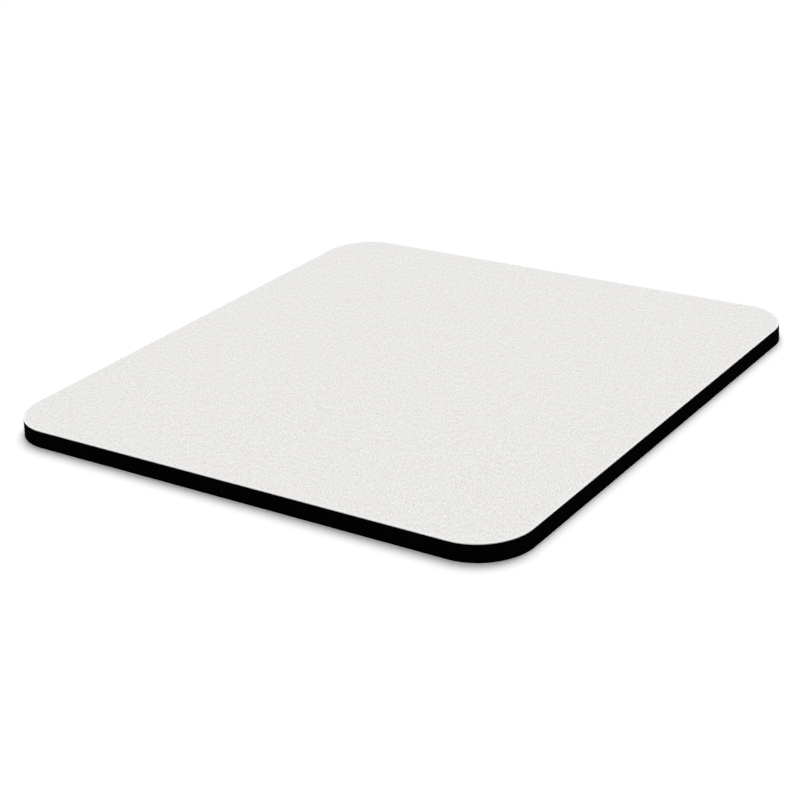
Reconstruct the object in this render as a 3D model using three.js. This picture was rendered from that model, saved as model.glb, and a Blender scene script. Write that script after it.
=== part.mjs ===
// A desk mouse pad: white polyester cloth, bonded by a thin film to a slab of black sponge rubber.
// One die cuts the three layers together, so they follow one outline with round corners.
// Millimetres, +Z up. The origin is the middle of the underside, and +X runs along the longer side.
import * as THREE from "three";
import { toCreasedNormals } from "three/addons/utils/BufferGeometryUtils.js";

// Driving dimensions
const PAD_LENGTH = 215.9;
const PAD_WIDTH = 203.2;
const PAD_THICKNESS = 6.35;
const CORNER_RADIUS = 19.05;
const CLOTH_THICKNESS = 0.3;
const FILM_THICKNESS = 0.1;

// The die enters from the cloth side. It rolls the cloth's cut rim over, and the squeezed sponge
// springs back to a wall that leans in towards the cloth.
const ROLLED_RIM_SHARE = 0.4;
const LEAN_SHARE = 0.05;

// Steps along the curved stretches
const CORNER_STEPS = 24;
const RIM_STEPS = 5;
const CREASE_ANGLE = Math.PI / 6;

// What is left for the sponge, how far its top is set in from its base, and where each layer starts
const SPONGE_THICKNESS = PAD_THICKNESS - CLOTH_THICKNESS - FILM_THICKNESS;
const TOP_INSET = SPONGE_THICKNESS * LEAN_SHARE;
const FILM_BASE = SPONGE_THICKNESS;
const CLOTH_BASE = FILM_BASE + FILM_THICKNESS;

// The four corners, anticlockwise from above, as the signs of their quarter of the plane
const CORNERS = [
  [1, 1],
  [-1, 1],
  [-1, -1],
  [1, -1],
];

const clothMaterial = new THREE.MeshStandardMaterial({
  color: 0xeae9e7,
  roughness: 0.92,
  metalness: 0,
});
const filmMaterial = new THREE.MeshStandardMaterial({
  color: 0x343332,
  roughness: 0.55,
  metalness: 0,
});
const spongeMaterial = new THREE.MeshStandardMaterial({
  color: 0x0c0c0d,
  roughness: 0.96,
  metalness: 0,
});

// One corner's arc of the cut outline, at height z and drawn in by inset.
function cornerArc([signX, signY], quarter, inset, z) {
  const centreX = signX * (PAD_LENGTH / 2 - CORNER_RADIUS);
  const centreY = signY * (PAD_WIDTH / 2 - CORNER_RADIUS);
  const arcRadius = CORNER_RADIUS - inset;
  return Array.from({ length: CORNER_STEPS + 1 }, (_, step) => {
    const angle = ((quarter + step / CORNER_STEPS) * Math.PI) / 2;
    const x = centreX + arcRadius * Math.cos(angle);
    const y = centreY + arcRadius * Math.sin(angle);
    return new THREE.Vector3(x, y, z);
  });
}

// The whole outline as one ring of points, anticlockwise from above.
function outlineRing({ inset, z }) {
  return CORNERS.flatMap((signs, quarter) => cornerArc(signs, quarter, inset, z));
}

// A closed solid through equal rings, given from the lowest to the highest, with flat ends.
function loftSolid(rings) {
  const ringSize = rings[0].length;
  const topStart = (rings.length - 1) * ringSize;
  const indices = [];
  for (let start = 0; start < topStart; start += ringSize) {
    for (let here = 0; here < ringSize; here += 1) {
      const next = (here + 1) % ringSize;
      indices.push(start + here, start + next, start + ringSize + next);
      indices.push(start + here, start + ringSize + next, start + ringSize + here);
    }
  }
  const flatOutline = rings[0].map(({ x, y }) => new THREE.Vector2(x, y));
  for (const [a, b, c] of THREE.ShapeUtils.triangulateShape(flatOutline, [])) {
    indices.push(a, c, b);
    indices.push(topStart + a, topStart + b, topStart + c);
  }
  const solid = new THREE.BufferGeometry().setFromPoints(rings.flat());
  solid.setIndex(indices);
  return toCreasedNormals(solid, CREASE_ANGLE);
}

// The sponge's cut wall leans from the full outline at the base to the cloth's outline at the top.
function spongeSolid() {
  return loftSolid([
    outlineRing({ inset: 0, z: 0 }),
    outlineRing({ inset: TOP_INSET, z: SPONGE_THICKNESS }),
  ]);
}

// The film is cut square.
function filmSolid() {
  return loftSolid([
    outlineRing({ inset: TOP_INSET, z: 0 }),
    outlineRing({ inset: TOP_INSET, z: FILM_THICKNESS }),
  ]);
}

// The cloth's rim rises straight and then rolls over, as a quarter circle, into the flat face.
function clothSolid() {
  const rimRadius = CLOTH_THICKNESS * ROLLED_RIM_SHARE;
  const rolledRings = Array.from({ length: RIM_STEPS + 1 }, (_, step) => {
    const angle = ((step / RIM_STEPS) * Math.PI) / 2;
    return outlineRing({
      inset: TOP_INSET + rimRadius * (1 - Math.cos(angle)),
      z: CLOTH_THICKNESS - rimRadius * (1 - Math.sin(angle)),
    });
  });
  return loftSolid([outlineRing({ inset: TOP_INSET, z: 0 }), ...rolledRings]);
}

// A layer of the laminate, at the height where it starts.
function layer(name, geometry, material, base) {
  const mesh = new THREE.Mesh(geometry, material);
  mesh.name = name;
  mesh.position.z = base;
  return mesh;
}

const mousePad = new THREE.Group();
mousePad.add(layer("sponge_base", spongeSolid(), spongeMaterial, 0));
mousePad.add(layer("adhesive_film", filmSolid(), filmMaterial, FILM_BASE));
mousePad.add(layer("cloth_top", clothSolid(), clothMaterial, CLOTH_BASE));

export default mousePad;
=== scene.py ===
"""A white cloth mouse pad on black sponge rubber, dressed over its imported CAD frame."""

import math

import bpy
import numpy as np
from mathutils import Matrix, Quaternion, Vector
from mathutils.geometry import delaunay_2d_cdt


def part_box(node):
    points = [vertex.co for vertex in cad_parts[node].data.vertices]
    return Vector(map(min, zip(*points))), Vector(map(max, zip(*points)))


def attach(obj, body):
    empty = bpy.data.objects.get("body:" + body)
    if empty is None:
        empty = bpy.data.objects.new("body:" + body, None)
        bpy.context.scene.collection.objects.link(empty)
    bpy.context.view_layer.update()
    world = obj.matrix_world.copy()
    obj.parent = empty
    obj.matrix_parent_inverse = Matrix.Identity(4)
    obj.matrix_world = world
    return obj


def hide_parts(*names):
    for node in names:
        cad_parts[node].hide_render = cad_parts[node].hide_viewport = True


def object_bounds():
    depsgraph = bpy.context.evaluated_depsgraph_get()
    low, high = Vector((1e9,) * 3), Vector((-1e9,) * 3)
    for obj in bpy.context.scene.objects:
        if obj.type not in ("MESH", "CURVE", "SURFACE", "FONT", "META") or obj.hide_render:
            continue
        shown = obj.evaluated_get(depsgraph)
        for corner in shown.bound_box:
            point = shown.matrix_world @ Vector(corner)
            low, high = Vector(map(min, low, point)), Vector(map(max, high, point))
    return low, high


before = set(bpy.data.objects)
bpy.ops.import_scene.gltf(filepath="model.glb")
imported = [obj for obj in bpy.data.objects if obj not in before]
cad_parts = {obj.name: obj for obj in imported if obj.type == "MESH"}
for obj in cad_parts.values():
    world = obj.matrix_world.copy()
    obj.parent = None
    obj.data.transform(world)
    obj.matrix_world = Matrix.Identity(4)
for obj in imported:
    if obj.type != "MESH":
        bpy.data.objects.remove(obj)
cad_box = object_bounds()

MM = 0.001
CORNER_RADIUS = 19.05 * MM

# The cloth's rolled rim and the faint pebbling of its face
ROLLED_RIM_SHARE = 0.4
ROLL_STEPS = 4
FACE_SPACING = 0.75 * MM
PEBBLE_DEPTH = 0.015 * MM
PEBBLE_WAVES = (1.8 * MM, 5.0 * MM)
PEBBLE_FADE = 2.0 * MM
FRAYED_DEPTH = 0.03 * MM
FRAY_WAVES = (0.9 * MM, 4.0 * MM)
# The width of the band along the face's rim that is painted whiter, as a painted highlight
RIM_HIGHLIGHT_WIDTH = 0.6 * MM

# The sponge's cut wall with its torn cells, and the waffle moulded into its underside
WALL_SPACING = 0.5 * MM
WALL_STEPS = 14
CELL_DENT_DEPTH = 0.09 * MM
CELL_DENT_WAVES = (1.1 * MM, 2.6 * MM)
WAFFLE_PITCH = 3.2 * MM
WAFFLE_STEPS = 4
WAFFLE_DEPTH = 0.4 * MM
WAFFLE_FADE = 2.5 * MM

# The random waves behind every uneven surface, with a seed for each
WAVE_COUNT = 90
WAVE_DEVIATIONS = 3
FRAY_SEED = 11
PEBBLE_SEED = 12
DENT_SEED = 21

# The gap between a flat face's outline and its grid, as a share of the grid's spacing, and the
# angle in degrees from which an edge is sharp
GRID_MARGIN_SHARE = 0.6
CREASE_ANGLE = 50.0

# The photograph's view: where the camera stands, the point it looks at, its roll and its lens,
# and the nearest and farthest that it sees
CAMERA_PLACE = (-0.519295, -0.356081, 0.270862)
CAMERA_AIM = (-0.028681, -0.013104, 0.00635)
CAMERA_ROLL = -3.0845
CAMERA_LENS = 84.8386
CAMERA_REACH = (0.01, 100)

# Each lamp's share of the floor's light, then its elevation, azimuth and width in degrees.
# With the sky's share they add up to white.
LAMPS = {
    "key_lamp": (0.556, 56.1, 25.9, 37.0),
    "top_lamp": (0.418, 89.1, 249.3, 38.3),
}
SKY_SHARE = 0.034
FLOOR_HALF_SIZE = 6.0
FLOOR_DROP = 0.02 * MM

# The cloth's nap lies along one diagonal; finer fuzz and a knit of small loops show through it
NAP_WIDTH = 0.42 * MM
NAP_STRETCH = 3.6
NAP_AZIMUTH = 35.0
NAP_UNRULINESS = 0.3
FUZZ_SIZE = 0.24 * MM
FUZZ_SHARE = 0.5
KNIT_SHARE = 0.1
CLOUD_SIZE = 2.2 * MM
CLOUD_SHARE = 0.3
GRAIN_RANGE = (0.185, 1.615)

# The knit's columns and rows of loops, and how far each wanders, in its own pitches
WALE_PITCH = 0.52 * MM
COURSE_PITCH = 0.4 * MM
WANDER_SIZE = 2.4 * MM
WALE_WANDER = 1.6
COURSE_WANDER = -1.3
KNIT_DEPTH = 0.015 * MM

# The cloth's colours, with sparse rosy patches and a painted highlight along the rim, and its
# finish
TINT_SIZE = 8.0 * MM
TINT_RANGE = (0.58, 0.66)
CLOTH_DARK = (0.608, 0.601, 0.589)
CLOTH_LIGHT = (0.984, 0.975, 0.957)
ROSY_TINT = (1.014, 0.988, 0.998)
CLOTH_RIM_HIGHLIGHT = (0.985, 0.980, 0.968)
CLOTH_ROUGHNESS = (0.97, 0.88)
ROUGHNESS_GRAIN_RANGE = (0.2, 0.8)
CLOTH_GLOSS = 0.15
CLOTH_SHEEN = 0.04
CLOTH_SHEEN_ROUGHNESS = 0.6

# The rubber's pores rise from their middle to their walls over these distances, in pore sizes.
# The small ones are so many times smaller, and the knife marks so many times as tall as wide.
LARGE_PORE_RANGE = (0.12, 0.55)
SMALL_PORE_RANGE = (0.1, 0.5)
PORE_SIZE_RATIO = 2.3
SMALL_PORE_SHARE = 0.45
MARK_SHARE = 0.5
MARK_WIDTH = 0.5 * MM
MARK_STRETCH = 12
RUBBER_RANGE = (0.2, 1.7)

# The rubber where the die cut it and where the mould formed its skin. The higher its contrast,
# the fewer of the walls between the pores are pale, and the more of each pore is dark with painted
# shade.
# The cut wall's colours are far darker than the moulded skin's: painted shade that keeps the wall
# near black
SHADED_CUT_SPONGE = {
    "dark": (0.0001, 0.0001, 0.0001),
    "light": (0.0042, 0.0042, 0.0043),
    "contrast": 9.0,
    "pore_size": 0.5 * MM,
    "pore_depth": 0.1 * MM,
    "least_roughness": 0.9,
    "gloss": 0.002,
}
MOULDED_SKIN = {
    "dark": (0.004, 0.004, 0.004),
    "light": (0.017, 0.017, 0.0173),
    "contrast": 1.0,
    "pore_size": 0.3 * MM,
    "pore_depth": 0.03 * MM,
    "least_roughness": 0.75,
    "gloss": 0.06,
}

# The bonding film and the cloudiness in it
FILM_DARK = (0.009, 0.0088, 0.0085)
FILM_LIGHT = (0.026, 0.0255, 0.025)
FILM_ROUGHNESS = (0.5, 0.7)
FILM_GLOSS = 0.1
HAZE_SIZE = 1.5 * MM
HAZE_RANGE = (0.3, 0.7)
HAZE_DEPTH = 0.02 * MM


def rim_walk(size, radius, spacing):
    """Points along the rounded outline, anticlockwise from above, and their outward normals."""
    half = np.array(size) / 2 - radius
    arc_steps = round(radius * math.pi / 2 / spacing)
    signs = ((1, 1), (-1, 1), (-1, -1), (1, -1))
    points, normals = [], []
    for quarter, sign in enumerate(signs):
        centre = half * sign
        for step in range(arc_steps + 1):
            angle = (quarter + step / arc_steps) * math.pi / 2
            normals.append(np.array((math.cos(angle), math.sin(angle))))
            points.append(centre + radius * normals[-1])
        start, facing = points[-1], normals[-1]
        end = half * signs[(quarter + 1) % 4] + radius * facing
        straight_steps = round(float(np.linalg.norm(end - start)) / spacing)
        for step in range(1, straight_steps):
            points.append(start + (end - start) * step / straight_steps)
            normals.append(facing)
    return np.array(points), np.array(normals)


def depth_inside(points, size, radius):
    """How far inside the rounded outline each point lies."""
    over = np.abs(points) - (np.array(size) / 2 - radius)
    outer = np.hypot(*np.clip(over, 0, None).T)
    return radius - outer - np.minimum(over.max(axis=1), 0)


def smooth_step(share):
    """0 below 0 and 1 above 1, with a smooth rise between them."""
    share = np.clip(share, 0, 1)
    return share * share * (3 - 2 * share)


def uneven(points, waves, seed):
    """A smooth random height between 0 and 1 at each point, from plane waves of these lengths.

    The range holds the waves' sum to WAVE_DEVIATIONS standard deviations on either side.
    """
    rng = np.random.default_rng(seed)
    directions = rng.normal(size=(WAVE_COUNT, points.shape[1]))
    directions /= np.linalg.norm(directions, axis=1, keepdims=True)
    lengths = np.exp(rng.uniform(*np.log(waves), WAVE_COUNT))
    phases = rng.uniform(0, 2 * math.pi, WAVE_COUNT)
    total = np.zeros(len(points))
    for direction, length, phase in zip(directions, lengths, phases):
        total += np.sin(points @ direction * (2 * math.pi / length) + phase)
    deviation = math.sqrt(WAVE_COUNT / 2)
    return np.clip(0.5 + total / deviation / (2 * WAVE_DEVIATIONS), 0, 1)


def grid_face(outline, size, radius, spacing):
    """Grid points inside the outline, and the triangles that join them to it and to each other.

    The triangulation works in millimetres, with a tolerance of a millionth of one.
    """
    counts = [math.ceil(side / 2 / spacing) for side in size]
    columns, rows = (np.arange(-count, count + 1) * spacing for count in counts)
    grid = np.stack(np.meshgrid(columns, rows), axis=-1).reshape(-1, 2)
    margin = GRID_MARGIN_SHARE * spacing + depth_inside(outline, size, radius).max()
    grid = grid[depth_inside(grid, size, radius) > margin]
    flat = np.concatenate((outline, grid)) / MM
    corners = [Vector(point) for point in flat]
    rim = [list(range(len(outline)))]
    only_inside, tolerance = 1, 1e-6
    _, _, faces, sources, _, _ = delaunay_2d_cdt(corners, [], rim, only_inside, tolerance)
    return grid, [[sources[corner][0] for corner in face] for face in faces]


def mesh_piece(name, points, faces, material, skin=None, skin_faces=0):
    """An object from points and faces; its last skin_faces faces take the second material."""
    mesh = bpy.data.meshes.new(name)
    mesh.from_pydata([tuple(point) for point in points], [], faces)
    mesh.materials.append(material)
    if skin:
        mesh.materials.append(skin)
        slots = np.zeros(len(faces), dtype=np.int32)
        slots[len(faces) - skin_faces:] = 1
        mesh.polygons.foreach_set("material_index", slots)
    mesh.polygons.foreach_set("use_smooth", np.ones(len(faces), dtype=bool))
    mesh.set_sharp_from_angle(angle=math.radians(CREASE_ANGLE))
    mesh.validate()
    piece = bpy.data.objects.new(name, mesh)
    bpy.context.scene.collection.objects.link(piece)
    return piece


def walls(ring_count, ring_size):
    """Quads between equal rings, which are given from the lowest to the highest."""
    here = np.arange(ring_size)
    following = (here + 1) % ring_size
    quads = []
    for start in range(0, (ring_count - 1) * ring_size, ring_size):
        above = start + ring_size
        corners = (start + here, start + following, above + following, above + here)
        quads += np.stack(corners, axis=1).tolist()
    return quads


def make(tree, kind, inputs, **settings):
    """A shader node with these settings, and values or links at its inputs."""
    node = tree.nodes.new(kind)
    for name, value in settings.items():
        setattr(node, name, value)
    for name, value in inputs.items():
        if isinstance(value, bpy.types.NodeSocket):
            tree.links.new(value, node.inputs[name])
        else:
            node.inputs[name].default_value = value
    return node


def fresh_material(name):
    """A material with its tree, its shader and the object's own coordinates."""
    material = bpy.data.materials.new(name)
    material.use_nodes = True
    tree = material.node_tree
    shader = tree.nodes["Principled BSDF"]
    place = tree.nodes.new("ShaderNodeTexCoord").outputs["Object"]
    return material, tree, shader, place


def calculate(tree, operation, first, second=0.0):
    """The result of a sum on two numbers or sockets."""
    return make(tree, "ShaderNodeMath", {0: first, 1: second}, operation=operation).outputs[0]


def scaled(tree, value, factor):
    """A value times a number."""
    return calculate(tree, "MULTIPLY", value, factor)


def added(tree, *values):
    """The sum of these values."""
    total = values[0]
    for value in values[1:]:
        total = calculate(tree, "ADD", total, value)
    return total


def spread(tree, value, low, high, to_low=0.0, to_high=1.0):
    """A value's range low to high, laid on another range and held inside it."""
    inputs = {"Value": value, 1: low, 2: high, 3: to_low, 4: to_high}
    return make(tree, "ShaderNodeMapRange", inputs, clamp=True).outputs["Result"]


def cells(tree, place, size, dimensions="3D"):
    """Irregular cells about this wide."""
    inputs = {"Vector": place, "Scale": 1 / size}
    return make(tree, "ShaderNodeTexVoronoi", inputs, voronoi_dimensions=dimensions)


def speckle(tree, place, size):
    """A random value for each irregular cell of the flat face."""
    colour = cells(tree, place, size, "2D").outputs["Color"]
    return make(tree, "ShaderNodeSeparateColor", {"Color": colour}).outputs["Red"]


def cloud(tree, place, size, detail, roughness=0.5):
    """A soft random value whose largest patches are about this wide."""
    inputs = {"Vector": place, "Scale": 1 / size, "Detail": detail, "Roughness": roughness}
    return make(tree, "ShaderNodeTexNoise", inputs).outputs[0]


def hairs(tree, place, width):
    """A flat random value whose patches are about this wide and all of one size."""
    inputs = {"Vector": place, "Scale": 1 / width, "Detail": 0.0, "Distortion": NAP_UNRULINESS}
    return make(tree, "ShaderNodeTexNoise", inputs, noise_dimensions="2D").outputs[0]


def drawn_out(tree, place, factors, azimuth=0.0):
    """The coordinates of a pattern that is this many times as long along its turned axes."""
    inputs = {"Vector": place, "Rotation": (0, 0, math.radians(azimuth)), "Scale": factors}
    return make(tree, "ShaderNodeMapping", inputs, vector_type="TEXTURE").outputs["Vector"]


def blended(tree, factor, low, high, blend="MIX"):
    """A mix or other blend of two colours, each a value or a socket."""
    node = make(tree, "ShaderNodeMix", {}, data_type="RGBA", blend_type=blend)
    sockets = {socket.identifier: socket for socket in (*node.inputs, *node.outputs)}
    tree.links.new(factor, sockets["Factor_Float"])
    for name, colour in (("A_Color", low), ("B_Color", high)):
        if isinstance(colour, bpy.types.NodeSocket):
            tree.links.new(colour, sockets[name])
        else:
            sockets[name].default_value = (*colour, 1)
    return sockets["Result_Color"]


def finish_surface(tree, shader, colour, roughness, height, depth):
    """Colour, roughness and bump, from a height between 0 and 1 that stands for this depth."""
    bump = make(tree, "ShaderNodeBump", {"Distance": depth, "Height": height})
    tree.links.new(colour, shader.inputs["Base Color"])
    tree.links.new(roughness, shader.inputs["Roughness"])
    tree.links.new(bump.outputs["Normal"], shader.inputs["Normal"])


def knit_height(tree, place):
    """The face of a fine weft knit: columns of V-shaped loops along X."""
    wander = cloud(tree, place, WANDER_SIZE, detail=2.0)
    axes = make(tree, "ShaderNodeSeparateXYZ", {"Vector": place})
    wales = scaled(tree, axes.outputs["Y"], 1 / WALE_PITCH)
    wales = added(tree, wales, scaled(tree, wander, WALE_WANDER))
    courses = scaled(tree, axes.outputs["X"], 1 / COURSE_PITCH)
    courses = added(tree, courses, scaled(tree, wander, COURSE_WANDER))
    leg = calculate(tree, "PINGPONG", wales, 0.5)
    turn = calculate(tree, "SINE", scaled(tree, added(tree, courses, leg), 2 * math.pi))
    rib = calculate(tree, "SINE", scaled(tree, leg, 2 * math.pi))
    # The turn lies between -1 and 1, and the rib between 0 and 1
    return spread(tree, added(tree, turn, rib), -1.0, 2.0)


def cloth_material():
    """White polyester knit: a short nap over small loops, a little unevenly white, with a painted
    highlight along its rim.
    """
    material, tree, shader, place = fresh_material("white_knit_cloth")
    along_nap = drawn_out(tree, place, (NAP_STRETCH, 1, 1), NAP_AZIMUTH)
    nap = hairs(tree, along_nap, NAP_WIDTH)
    fuzz = speckle(tree, place, FUZZ_SIZE)
    knit = knit_height(tree, place)
    patches = cloud(tree, place, CLOUD_SIZE, detail=2.0)
    shares = ((fuzz, FUZZ_SHARE), (knit, KNIT_SHARE), (patches, CLOUD_SHARE))
    grain = added(tree, nap, *(scaled(tree, value, share) for value, share in shares))
    grain = spread(tree, grain, *GRAIN_RANGE)
    tint = spread(tree, cloud(tree, place, TINT_SIZE, detail=2.0), *TINT_RANGE)
    rim = make(tree, "ShaderNodeAttribute", {}, attribute_name="rim").outputs["Fac"]
    colour = blended(tree, grain, CLOTH_DARK, CLOTH_LIGHT)
    colour = blended(tree, tint, colour, ROSY_TINT, "MULTIPLY")
    # The rim band is painted whiter: a painted highlight
    colour = blended(tree, rim, colour, CLOTH_RIM_HIGHLIGHT)
    roughness = spread(tree, grain, *ROUGHNESS_GRAIN_RANGE, *CLOTH_ROUGHNESS)
    height = scaled(tree, added(tree, knit, nap), 0.5)
    finish_surface(tree, shader, colour, roughness, height, KNIT_DEPTH)
    shader.inputs["Specular IOR Level"].default_value = CLOTH_GLOSS
    shader.inputs["Sheen Weight"].default_value = CLOTH_SHEEN
    shader.inputs["Sheen Roughness"].default_value = CLOTH_SHEEN_ROUGHNESS
    return material


def rubber_material(name, look):
    """Black open-cell rubber: pores of two sizes, painted darker in their middles as painted
    shade, and faint upright knife marks.
    """
    material, tree, shader, place = fresh_material(name)
    pore_size = look["pore_size"]
    large = cells(tree, place, pore_size).outputs["Distance"]
    large = spread(tree, large, *LARGE_PORE_RANGE)
    small = cells(tree, place, pore_size / PORE_SIZE_RATIO).outputs["Distance"]
    small = scaled(tree, spread(tree, small, *SMALL_PORE_RANGE), SMALL_PORE_SHARE)
    upright = drawn_out(tree, place, (1, 1, MARK_STRETCH))
    marks = cloud(tree, upright, MARK_WIDTH, detail=3.0, roughness=0.6)
    height = added(tree, large, small, scaled(tree, marks, MARK_SHARE))
    height = spread(tree, height, *RUBBER_RANGE)
    # The pores' middles take the dark colour and the walls between them the pale one: painted
    # shade in the pores
    pale = calculate(tree, "POWER", height, look["contrast"])
    colour = blended(tree, pale, look["dark"], look["light"])
    roughness = spread(tree, height, 0.0, 1.0, 1.0, look["least_roughness"])
    finish_surface(tree, shader, colour, roughness, height, look["pore_depth"])
    shader.inputs["Specular IOR Level"].default_value = look["gloss"]
    return material


def film_material():
    """Smoky hot-melt film, a little cloudy."""
    material, tree, shader, place = fresh_material("smoky_bonding_film")
    haze = cloud(tree, place, HAZE_SIZE, detail=4.0, roughness=0.6)
    haze = spread(tree, haze, *HAZE_RANGE)
    roughness = spread(tree, haze, 0.0, 1.0, *FILM_ROUGHNESS)
    colour = blended(tree, haze, FILM_DARK, FILM_LIGHT)
    finish_surface(tree, shader, colour, roughness, haze, HAZE_DEPTH)
    shader.inputs["Specular IOR Level"].default_value = FILM_GLOSS
    return material


def cloth_piece(material):
    """The face cloth: a flat back, a cut rim that rolls over, and a faintly pebbled face."""
    low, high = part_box("cloth_top")
    size = (high.x - low.x, high.y - low.y)
    radius = CORNER_RADIUS - (cad_box[1].x - high.x)
    thickness = high.z - low.z
    roll = thickness * ROLLED_RIM_SHARE
    walk, normals = rim_walk(size, radius, FACE_SPACING)
    fray = FRAYED_DEPTH * uneven(walk, FRAY_WAVES, FRAY_SEED)
    rings = [(0.0, 0.0)]
    for step in range(ROLL_STEPS + 1):
        angle = step / ROLL_STEPS * math.pi / 2
        rings.append((roll * (1 - math.cos(angle)), thickness - roll * (1 - math.sin(angle))))
    points = []
    for inset, height in rings:
        ring = walk - normals * (fray + inset)[:, None]
        points.append(np.column_stack((ring, np.full(len(ring), low.z + height))))
    face_rim = points[-1][:, :2]
    grid, triangles = grid_face(face_rim, size, radius, FACE_SPACING)
    inside = depth_inside(grid, size, radius)
    pebbles = uneven(grid, PEBBLE_WAVES, PEBBLE_SEED) * smooth_step(inside / PEBBLE_FADE)
    points.append(np.column_stack((grid, high.z - PEBBLE_DEPTH * pebbles)))
    rim_size = len(walk)
    top = (len(rings) - 1) * rim_size
    faces = walls(len(rings), rim_size)
    faces += [[top + corner for corner in face] for face in triangles]
    faces.append(list(range(rim_size))[::-1])
    points = np.concatenate(points)
    piece = mesh_piece("face_cloth", points, faces, material)
    # The rim attribute marks where the face is painted whiter as a painted highlight, fading in
    # over this width
    painted_highlight = 1 - smooth_step(depth_inside(points[:, :2], size, radius) / RIM_HIGHLIGHT_WIDTH)
    attribute = piece.data.attributes.new("rim", "FLOAT", "POINT")
    attribute.data.foreach_set("value", painted_highlight.astype(np.float32))
    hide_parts("cloth_top")
    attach(piece, "root")


def waffle(points, size):
    """The underside's moulded squares: 0 on their lands and 1 in the grooves between them."""
    waves = 0.5 + 0.5 * np.cos(points * (2 * math.pi / WAFFLE_PITCH))
    groove = np.clip(waves.max(axis=1) * 2 - 1, 0, 1)
    return groove * smooth_step(depth_inside(points, size, CORNER_RADIUS) / WAFFLE_FADE)


def sponge_piece(cut, skin):
    """The sponge slab: a waffled underside and a cut wall that leans in towards the cloth."""
    low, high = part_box("sponge_base")
    size = (high.x - low.x, high.y - low.y)
    thickness = high.z - low.z
    walk, normals = rim_walk(size, CORNER_RADIUS, WALL_SPACING)
    lean = high.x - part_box("cloth_top")[1].x
    rings = []
    for step in range(WALL_STEPS + 1):
        rise = step / WALL_STEPS
        height = np.full(len(walk), low.z + thickness * rise)
        dents = uneven(np.column_stack((walk, height)), CELL_DENT_WAVES, DENT_SEED)
        inset = lean * rise + CELL_DENT_DEPTH * dents * math.sqrt(math.sin(math.pi * rise))
        rings.append(np.column_stack((walk - normals * inset[:, None], height)))
    grid, triangles = grid_face(rings[0][:, :2], size, CORNER_RADIUS, WAFFLE_PITCH / WAFFLE_STEPS)
    rim_size = len(walk)
    start = len(rings) * rim_size
    lifted = low.z + WAFFLE_DEPTH * waffle(grid, size)
    points = np.concatenate((*rings, np.column_stack((grid, lifted))))
    faces = walls(len(rings), rim_size)
    faces.append(list(range(start - rim_size, start)))
    shift = start - rim_size
    underside = [
        [corner if corner < rim_size else corner + shift for corner in reversed(face)]
        for face in triangles
    ]
    faces += underside
    piece = mesh_piece("sponge_slab", points, faces, cut, skin, len(underside))
    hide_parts("sponge_base")
    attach(piece, "root")


def floor():
    """A plain white floor just under the pad, which keeps its shadow."""
    height = cad_box[0].z - FLOOR_DROP
    signs = ((-1, -1), (1, -1), (1, 1), (-1, 1))
    corners = [(FLOOR_HALF_SIZE * x, FLOOR_HALF_SIZE * y, height) for x, y in signs]
    mesh = bpy.data.meshes.new("floor")
    mesh.from_pydata(corners, [], [[0, 1, 2, 3]])
    material = bpy.data.materials.new("white_floor")
    material.use_nodes = True
    shader = material.node_tree.nodes["Principled BSDF"]
    shader.inputs["Base Color"].default_value = (1, 1, 1, 1)
    shader.inputs["Roughness"].default_value = 1
    shader.inputs["Specular IOR Level"].default_value = 0
    mesh.materials.append(material)
    plane = bpy.data.objects.new("floor", mesh)
    bpy.context.scene.collection.objects.link(plane)


def sky():
    """Plain white where it is seen or mirrored, and a weak light on everything else."""
    world = bpy.data.worlds.new("studio")
    bpy.context.scene.world = world
    world.use_nodes = True
    tree = world.node_tree
    tree.nodes.clear()
    path = make(tree, "ShaderNodeLightPath", {})
    seen = calculate(tree, "MAXIMUM", path.outputs["Is Camera Ray"], path.outputs["Is Glossy Ray"])
    seen = calculate(tree, "MAXIMUM", seen, path.outputs["Is Transmission Ray"])
    weak = make(tree, "ShaderNodeBackground", {"Color": (1, 1, 1, 1), "Strength": SKY_SHARE})
    white = make(tree, "ShaderNodeBackground", {"Color": (1, 1, 1, 1), "Strength": 1.0})
    inputs = {0: seen, 1: weak.outputs[0], 2: white.outputs[0]}
    mixed = make(tree, "ShaderNodeMixShader", inputs)
    make(tree, "ShaderNodeOutputWorld", {"Surface": mixed.outputs[0]})


def lamp(name, share, elevation, azimuth, width):
    """A soft far lamp that gives a floor this share of white."""
    elevation, azimuth = math.radians(elevation), math.radians(azimuth)
    data = bpy.data.lights.new(name, "SUN")
    data.angle = math.radians(width)
    data.energy = share * math.pi / math.sin(elevation)
    light = bpy.data.objects.new(name, data)
    flat = math.cos(elevation)
    towards = Vector((flat * math.cos(azimuth), flat * math.sin(azimuth), math.sin(elevation)))
    light.rotation_mode = "QUATERNION"
    light.rotation_quaternion = towards.to_track_quat("Z", "Y")
    bpy.context.scene.collection.objects.link(light)


def camera():
    """The camera of the photograph."""
    data = bpy.data.cameras.new("camera")
    data.lens = CAMERA_LENS
    data.clip_start, data.clip_end = CAMERA_REACH
    view = bpy.data.objects.new("camera", data)
    view.location = CAMERA_PLACE
    facing = (Vector(CAMERA_AIM) - Vector(CAMERA_PLACE)).to_track_quat("-Z", "Y")
    view.rotation_mode = "QUATERNION"
    view.rotation_quaternion = facing @ Quaternion((0, 0, 1), math.radians(CAMERA_ROLL))
    bpy.context.scene.collection.objects.link(view)
    bpy.context.scene.camera = view


camera()
for name, settings in LAMPS.items():
    lamp(name, *settings)
sky()
floor()
cloth_piece(cloth_material())
sponge_piece(
    rubber_material("cut_sponge", SHADED_CUT_SPONGE),
    rubber_material("moulded_skin", MOULDED_SKIN),
)
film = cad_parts["adhesive_film"]
film.data.materials.clear()
film.data.materials.append(film_material())

bpy.context.scene.view_settings.view_transform = "Standard"
